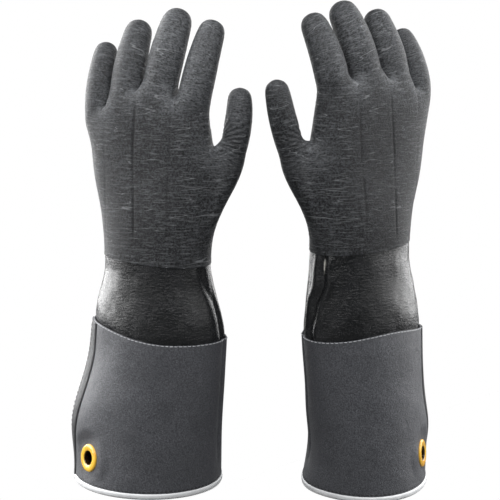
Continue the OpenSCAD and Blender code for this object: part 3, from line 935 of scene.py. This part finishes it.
def stitches(side, name, node, spots, length, material):
    """Short sunken threads, each from a place, a direction and an outward normal."""
    points, faces = [], []
    around, along = 8, 7
    for place_at, heading, normal in spots:
        side_way = np.cross(normal, heading)
        start = len(points)
        for j in range(along):
            u = j / (along - 1) * 2 - 1
            middle = place_at + heading * u * length / 2
            thick = 0.34 * math.sqrt(max(0.02, 1 - u ** 4))
            sink = -0.42 * u * u
            for i in range(around):
                a = 2 * math.pi * i / around
                out = normal * (sink + 0.18 + thick * math.sin(a))
                points.append(middle + out + side_way * thick * math.cos(a))
        faces += [tuple(start + k for k in face) for face in grid_faces(along, around)]
        faces.append(tuple(start + i for i in reversed(range(around))))
        faces.append(tuple(start + (along - 1) * around + i for i in range(around)))
    glove_piece(side, name, node, np.array(points), faces, material)


def round_spots(side, height_of, pitch):
    """Evenly spaced stitch places round the cuff at a height that may vary with the angle."""
    fine = np.linspace(0, 2 * math.pi, 1441)
    path = cuff_surface(side, fine, height_of(fine))
    length = np.concatenate([[0], np.cumsum(np.linalg.norm(np.diff(path, axis=0), axis=1))])
    count = round(length[-1] / pitch)
    angles = np.interp(np.arange(count) * length[-1] / count, length, fine)
    spots = []
    for a in angles:
        here = cuff_surface(side, a, height_of(a))
        ahead = cuff_surface(side, a + 0.01, height_of(a + 0.01))
        spots.append((here, unit(ahead - here), cuff_normal(side, a, height_of(a))))
    return spots


def sewing(side):
    top = round_spots(side, lambda a: seam_height(side, a) - 0.7, STITCH_PITCH)
    stitches(side, "top_seam", "top_stitching", top, 3.1, "light_thread")
    rim = round_spots(side, lambda a: np.full_like(np.asarray(a, float), RIM_ROLL + 1.6), STITCH_PITCH)
    stitches(side, "rim_seam", "rim_stitching", rim, 3.1, "dark_thread")
    spots = []
    for u in (0.62, 0.88):
        for v in np.arange(0.06, 0.97, 0.031):
            here, normal = lap_place(side, v, u)
            above, _ = lap_place(side, v + 0.005, u)
            spots.append((here, unit(above - here), normal))
    stitches(side, "lap_seam", "lap_stitching", spots, 2.8, "dark_thread")


# ---- Materials ----

MATERIALS = {}


def give(obj, slot):
    obj.data.materials.clear()
    obj.data.materials.append(MATERIALS[slot])


class Shader:
    """A material's node tree, with short calls to add and join nodes."""

    def __init__(self, name, colour, **settings):
        self.material = bpy.data.materials.new(name)
        self.material.use_nodes = True
        self.tree = self.material.node_tree
        self.surface = self.tree.nodes["Principled BSDF"]
        self.set("Base Color", (*colour, 1))
        self.material.diffuse_color = (*colour, 1)
        for socket, value in settings.items():
            self.set(socket.replace("_", " "), value)
        MATERIALS[name] = self.material

    def set(self, socket, value):
        self.surface.inputs[socket].default_value = value

    def node(self, kind, **settings):
        node = self.tree.nodes.new(kind)
        for key, value in settings.items():
            setattr(node, key, value)
        return node

    def join(self, out, into):
        self.tree.links.new(out, into)

    def feed(self, socket, out):
        self.join(out, self.surface.inputs[socket])

    def attribute(self, name, output="Fac"):
        return self.node("ShaderNodeAttribute", attribute_name=name).outputs[output]

    def scaled(self, vector, scale):
        mapping = self.node("ShaderNodeMapping")
        mapping.inputs["Scale"].default_value = scale
        self.join(vector, mapping.inputs["Vector"])
        return mapping.outputs["Vector"]

    def grain(self, scale=(1, 1, 1)):
        """Each point's place on its own glove in millimetres, which bends with the fingers."""
        return self.scaled(self.attribute("grain", "Vector"), scale)

    def object_space(self):
        """Object coordinates in millimetres."""
        return self.scaled(self.node("ShaderNodeTexCoord").outputs["Object"], (1000, 1000, 1000))

    def noise(self, vector, scale, detail=2.0, roughness=0.5):
        node = self.node("ShaderNodeTexNoise")
        node.inputs["Scale"].default_value = scale
        node.inputs["Detail"].default_value = detail
        node.inputs["Roughness"].default_value = roughness
        self.join(vector, node.inputs["Vector"])
        return node.outputs["Fac"]

    def range(self, value, low, high, to_low=0.0, to_high=1.0):
        node = self.node("ShaderNodeMapRange", interpolation_type="SMOOTHSTEP")
        limits = {"From Min": low, "From Max": high, "To Min": to_low, "To Max": to_high}
        for socket, number in limits.items():
            node.inputs[socket].default_value = number
        self.join(value, node.inputs["Value"])
        return node.outputs["Result"]

    def math(self, operation, a, b):
        node = self.node("ShaderNodeMath", operation=operation)
        for socket, value in zip(node.inputs, (a, b)):
            if isinstance(value, (int, float)):
                socket.default_value = value
            else:
                self.join(value, socket)
        return node.outputs[0]

    def mix(self, amount, a, b):
        node = self.node("ShaderNodeMix", data_type="RGBA")
        self.join(amount, node.inputs["Factor"])
        for socket, value in ((node.inputs[6], a), (node.inputs[7], b)):
            if isinstance(value, tuple):
                socket.default_value = (*value, 1)
            else:
                self.join(value, socket)
        return node.outputs[2]

    def layer(self, under, over, mask, strength):
        """One colour laid over another where the mask is high."""
        return self.mix(self.math("MULTIPLY", mask, strength), under, over)

    def bump(self, *layers):
        """Chained bumps, each a height and its full depth in millimetres."""
        last = None
        for height, depth in layers:
            node = self.node("ShaderNodeBump")
            node.inputs["Strength"].default_value = 1.0
            node.inputs["Distance"].default_value = depth / 1000
            self.join(height, node.inputs["Height"])
            if last:
                self.join(last, node.inputs["Normal"])
            last = node.outputs["Normal"]
        self.join(last, self.surface.inputs["Normal"])


def thin_lines(shader, vector, scale, half_width):
    """Sparse contour lines of a stretched noise, which run across the hand."""
    value = shader.noise(vector, scale, 1.0)
    distance = shader.math("ABSOLUTE", shader.math("SUBTRACT", value, 0.5), 0.0)
    return shader.range(distance, half_width, 0.0)


def rough_neoprene():
    s = Shader("rough_neoprene", (0.04, 0.043, 0.046), Roughness=0.62, Specular_IOR_Level=0.3)
    s.set("Sheen Weight", 0.06)
    s.set("Sheen Roughness", 0.45)
    fine = s.noise(s.grain(), 0.6, 4.0, 0.8)
    streak = s.range(s.noise(s.grain((0.09, 0.09, 0.75)), 1.0, 4.0, 0.75), 0.5, 0.68)
    dark_streak = s.range(s.noise(s.grain((0.07, 0.07, 0.6)), 1.3, 3.0, 0.7), 0.46, 0.3)
    lines = thin_lines(s, s.grain((0.014, 0.014, 0.19)), 1.0, 0.011)
    gate = s.range(s.noise(s.grain((0.05, 0.05, 0.12)), 1.0, 1.0), 0.42, 0.56)
    lines = s.math("MULTIPLY", lines, gate)
    cloud = s.noise(s.grain(), 0.03, 3.0)
    wear = s.attribute("wear")
    dark = s.attribute("dark")
    speck = s.noise(s.grain((0.4, 0.4, 1.1)), 1.0, 3.0, 0.75)
    worn_and_lit = s.math("MULTIPLY", wear, s.range(speck, 0.36, 0.7))
    colour = s.mix(s.range(fine, 0.42, 0.62), (0.0025, 0.0026, 0.0028), (0.062, 0.065, 0.071))
    colour = s.layer(colour, (0.18, 0.187, 0.195), streak, 0.6)
    colour = s.layer(colour, (0.01, 0.01, 0.011), dark_streak, 0.7)
    colour = s.layer(colour, (0.02, 0.021, 0.023), s.range(cloud, 0.4, 0.7), 0.35)
    # painted highlights: thin light lines across the hand where small ridges catch the light; the bump raises
    # the same lines
    colour = s.layer(colour, (0.3, 0.31, 0.32), lines, 0.55)
    # light speckle of wear, which on the fingers is partly painted light
    colour = s.layer(colour, (0.24, 0.25, 0.265), worn_and_lit, 0.62)
    # painted shade in the back creases and down the middle of the hand, from the dark attribute
    colour = s.layer(colour, (0.006, 0.006, 0.007), dark, 0.75)
    s.feed("Base Color", colour)
    s.feed("Roughness", s.range(fine, 0.3, 0.7, 0.42, 0.66))
    s.bump((streak, 0.16), (fine, 0.6), (lines, 0.15))


def glossy_neoprene():
    s = Shader("glossy_neoprene", (0.011, 0.012, 0.013), Roughness=0.3, Specular_IOR_Level=0.6)
    s.set("Coat Weight", 0.3)
    s.set("Coat Roughness", 0.2)
    ripple = s.noise(s.grain((0.16, 0.16, 0.6)), 1.0, 3.0, 0.7)
    pebble = s.noise(s.grain(), 0.75, 3.0, 0.75)
    cloud = s.noise(s.grain(), 0.05, 3.0, 0.6)
    s.feed("Roughness", s.range(pebble, 0.3, 0.7, 0.18, 0.3))
    dark, light = (0.004, 0.0045, 0.005), (0.014, 0.0145, 0.016)
    s.feed("Base Color", s.mix(s.range(cloud, 0.4, 0.75), dark, light))
    s.bump((ripple, 0.6), (pebble, 0.4))


def coated_fabric():
    s = Shader("coated_fabric", (0.05, 0.053, 0.058), Roughness=0.45, Specular_IOR_Level=0.5)
    s.set("Sheen Weight", 0.06)
    grain = s.noise(s.grain(), 0.85, 4.0, 0.7)
    pore = s.range(s.noise(s.grain(), 0.8, 2.0, 0.8), 0.56, 0.72)
    cloud = s.noise(s.grain(), 0.03, 3.0)
    shade = s.attribute("shade")
    colour = s.mix(s.range(grain, 0.36, 0.64), (0.045, 0.046, 0.052), (0.11, 0.113, 0.125))
    colour = s.layer(colour, (0.22, 0.225, 0.24), pore, 0.4)
    colour = s.layer(colour, (0.04, 0.042, 0.047), s.range(cloud, 0.4, 0.7), 0.25)
    # painted shade: darker colour on the side lap, where its shade attribute is set
    colour = s.layer(colour, (0.012, 0.012, 0.013), shade, 0.75)
    s.feed("Base Color", colour)
    s.feed("Roughness", s.range(grain, 0.3, 0.7, 0.36, 0.55))
    s.bump((grain, 0.4), (pore, 0.1), (s.noise(s.grain(), 0.05, 2.0), 1.2))


def knit(name, colour, shade):
    s = Shader(name, colour, Roughness=0.95, Sheen_Weight=0.4)
    courses = s.node("ShaderNodeTexWave", bands_direction="Z")
    courses.inputs["Scale"].default_value = 0.35
    courses.inputs["Distortion"].default_value = 1.2
    s.join(s.grain() if name == "cuff_lining" else s.object_space(), courses.inputs["Vector"])
    fuzz = s.noise(s.object_space(), 0.9, 4.0, 0.7)
    s.feed("Base Color", s.mix(s.range(fuzz, 0.3, 0.7), shade, colour))
    s.bump((courses.outputs["Fac"], 0.35), (fuzz, 0.4))


def white_binding():
    s = Shader("white_binding", (0.82, 0.83, 0.84), Roughness=0.38)
    weave = s.noise(s.grain((1, 1, 2)), 1.0, 2.0)
    dirt = s.noise(s.grain(), 0.06, 4.0)
    clean, dull = (0.92, 0.93, 0.94), (0.8, 0.81, 0.82)
    s.feed("Base Color", s.mix(s.range(dirt, 0.35, 0.75), clean, dull))
    s.feed("Roughness", s.range(weave, 0.3, 0.7, 0.32, 0.46))
    s.bump((weave, 0.1))


def yellow_eyelet():
    s = Shader("yellow_eyelet", (0.95, 0.46, 0.03), Roughness=0.25, Coat_Weight=0.5)
    s.set("Coat Roughness", 0.1)
    flow = s.noise(s.grain(), 0.12, 3.0)
    peel = s.noise(s.grain(), 0.8, 2.0)
    bore = s.attribute("bore")
    colour = s.mix(s.range(flow, 0.35, 0.7), (1.0, 0.6, 0.06), (0.93, 0.45, 0.03))
    # painted shade on the barrel's inner wall, from the bore attribute
    s.feed("Base Color", s.mix(bore, colour, (0.03, 0.014, 0.004)))
    s.feed("Roughness", s.range(peel, 0.3, 0.7, 0.2, 0.34))
    s.bump((peel, 0.05))


def thread(name, colour):
    s = Shader(name, colour, Roughness=0.6)
    twist = s.noise(s.object_space(), 2.5, 2.0)
    shade = tuple(0.7 * c for c in colour)
    s.feed("Base Color", s.mix(s.range(twist, 0.35, 0.65), shade, colour))
    s.bump((twist, 0.1))


def make_materials():
    rough_neoprene()
    glossy_neoprene()
    coated_fabric()
    knit("knit_lining", (0.62, 0.6, 0.55), (0.45, 0.43, 0.39))
    # The cuff lining's dark colour is painted shade, which keeps the inside of the cuff dark
    knit("cuff_lining", (0.06, 0.06, 0.065), (0.03, 0.03, 0.033))
    white_binding()
    yellow_eyelet()
    thread("light_thread", (0.55, 0.56, 0.58))
    thread("dark_thread", (0.02, 0.02, 0.022))


# ---- Studio ----

CAMERA_AT = Vector((0, -1.2, 0.435))
CAMERA_AIM = Vector((0, 0, 0.207))
SENSOR_WIDTH = 36
LENS = 101.0
FLOOR_SIZE = 90
# The floor lies this far below the rims, so that the two don't share a plane
FLOOR_DROP = 0.0005


def look_at(obj, target):
    obj.rotation_euler = (Vector(target) - obj.location).to_track_quat("-Z", "Y").to_euler()


def area_light(name, at, target, size, power, size_y=None):
    data = bpy.data.lights.new(name, "AREA")
    data.energy = power
    data.size = size
    if size_y:
        data.shape = "RECTANGLE"
        data.size_y = size_y
    obj = new_object(name, data)
    obj.location = at
    look_at(obj, target)
    return obj


def studio():
    camera = bpy.data.cameras.new("camera")
    camera.lens = LENS
    camera.sensor_width = SENSOR_WIDTH
    obj = new_object("camera", camera)
    obj.location = CAMERA_AT
    look_at(obj, CAMERA_AIM)
    bpy.context.scene.camera = obj

    bpy.context.scene.view_settings.view_transform = "Standard"
    bpy.context.scene.world = world_light()

    bpy.ops.mesh.primitive_plane_add(size=FLOOR_SIZE, location=(0, 0, -FLOOR_DROP))
    floor = bpy.context.object
    floor.name = "floor"
    floor.data.materials.append(floor_material())
    floor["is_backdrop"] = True

    for side, way, power, fill in (("left", -1, 39, 8.5), ("right", 1, 22, 6)):
        aim = (way * 0.09, 0, 0.2)
        lights = [
            area_light(f"{side}_outer", (way * 0.95, 0.45, 0.45), aim, 1.2, power, 1.5),
            area_light(f"{side}_fill", (way * 1.4, -0.6, 0.8), aim, 1.0, fill),
            area_light(f"{side}_inner", (-way * 0.5, -0.45, 0.5), aim, 0.5, 1.0),
            area_light(f"{side}_edge", (-way * 0.3, 0.6, 0.35), aim, 0.25, 2.0, 0.8),
        ]
        for light in lights:
            light.light_linking.receiver_collection = GLOVES[side]
    area_light("overhead", (0, -0.4, 0.78), (0, 0, 0.37), 0.6, 4.5, 0.4)


def white_to_camera(tree, lit, white, out):
    """Shows white behind the gloves without letting it light them."""
    path = tree.nodes.new("ShaderNodeLightPath")
    mix = tree.nodes.new("ShaderNodeMixShader")
    tree.links.new(path.outputs["Is Camera Ray"], mix.inputs["Fac"])
    tree.links.new(lit, mix.inputs[1])
    tree.links.new(white, mix.inputs[2])
    tree.links.new(mix.outputs[0], out)


def world_light():
    world = bpy.data.worlds.new("studio")
    world.use_nodes = True
    tree = world.node_tree
    dim = tree.nodes["Background"]
    dim.inputs["Color"].default_value = (0.9, 0.95, 1, 1)
    dim.inputs["Strength"].default_value = 0.1
    white = tree.nodes.new("ShaderNodeBackground")
    white.inputs["Color"].default_value = (1, 1, 1, 1)
    white_to_camera(tree, dim.outputs[0], white.outputs[0], tree.nodes["World Output"].inputs["Surface"])
    return world


def floor_material():
    s = Shader("floor_white", (0.3, 0.3, 0.3), Roughness=0.9)
    white = s.node("ShaderNodeEmission")
    enclosed = s.node("ShaderNodeAmbientOcclusion", samples=8)
    enclosed.inputs["Distance"].default_value = 0.45
    # Painted shade: the floor's white glow is dimmed inside a cuff, where it is seen through the eyelet
    light = s.node("ShaderNodeMapRange")
    light.inputs["From Min"].default_value = 0.05
    light.inputs["From Max"].default_value = 0.25
    light.inputs["To Min"].default_value = 0.02
    s.join(enclosed.outputs["AO"], light.inputs["Value"])
    s.join(light.outputs["Result"], white.inputs["Strength"])
    out = s.tree.nodes["Material Output"].inputs["Surface"]
    white_to_camera(s.tree, s.surface.outputs[0], white.outputs[0], out)
    return s.material


GLOVES = {side: bpy.data.collections.new(f"{side}_pieces") for side in SIDES}
make_materials()
studio()
for side in SIDES:
    hand_skin(side)
    hand_lining(side)
    sleeve(side)
    gauntlet(side)
    gauntlet_lining(side)
    rim_binding(side)
    side_lap(side)
    eyelet(side)
    sewing(side)

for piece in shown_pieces():
    for side in SIDES:
        if piece.name.startswith(side):
            GLOVES[side].objects.link(piece)
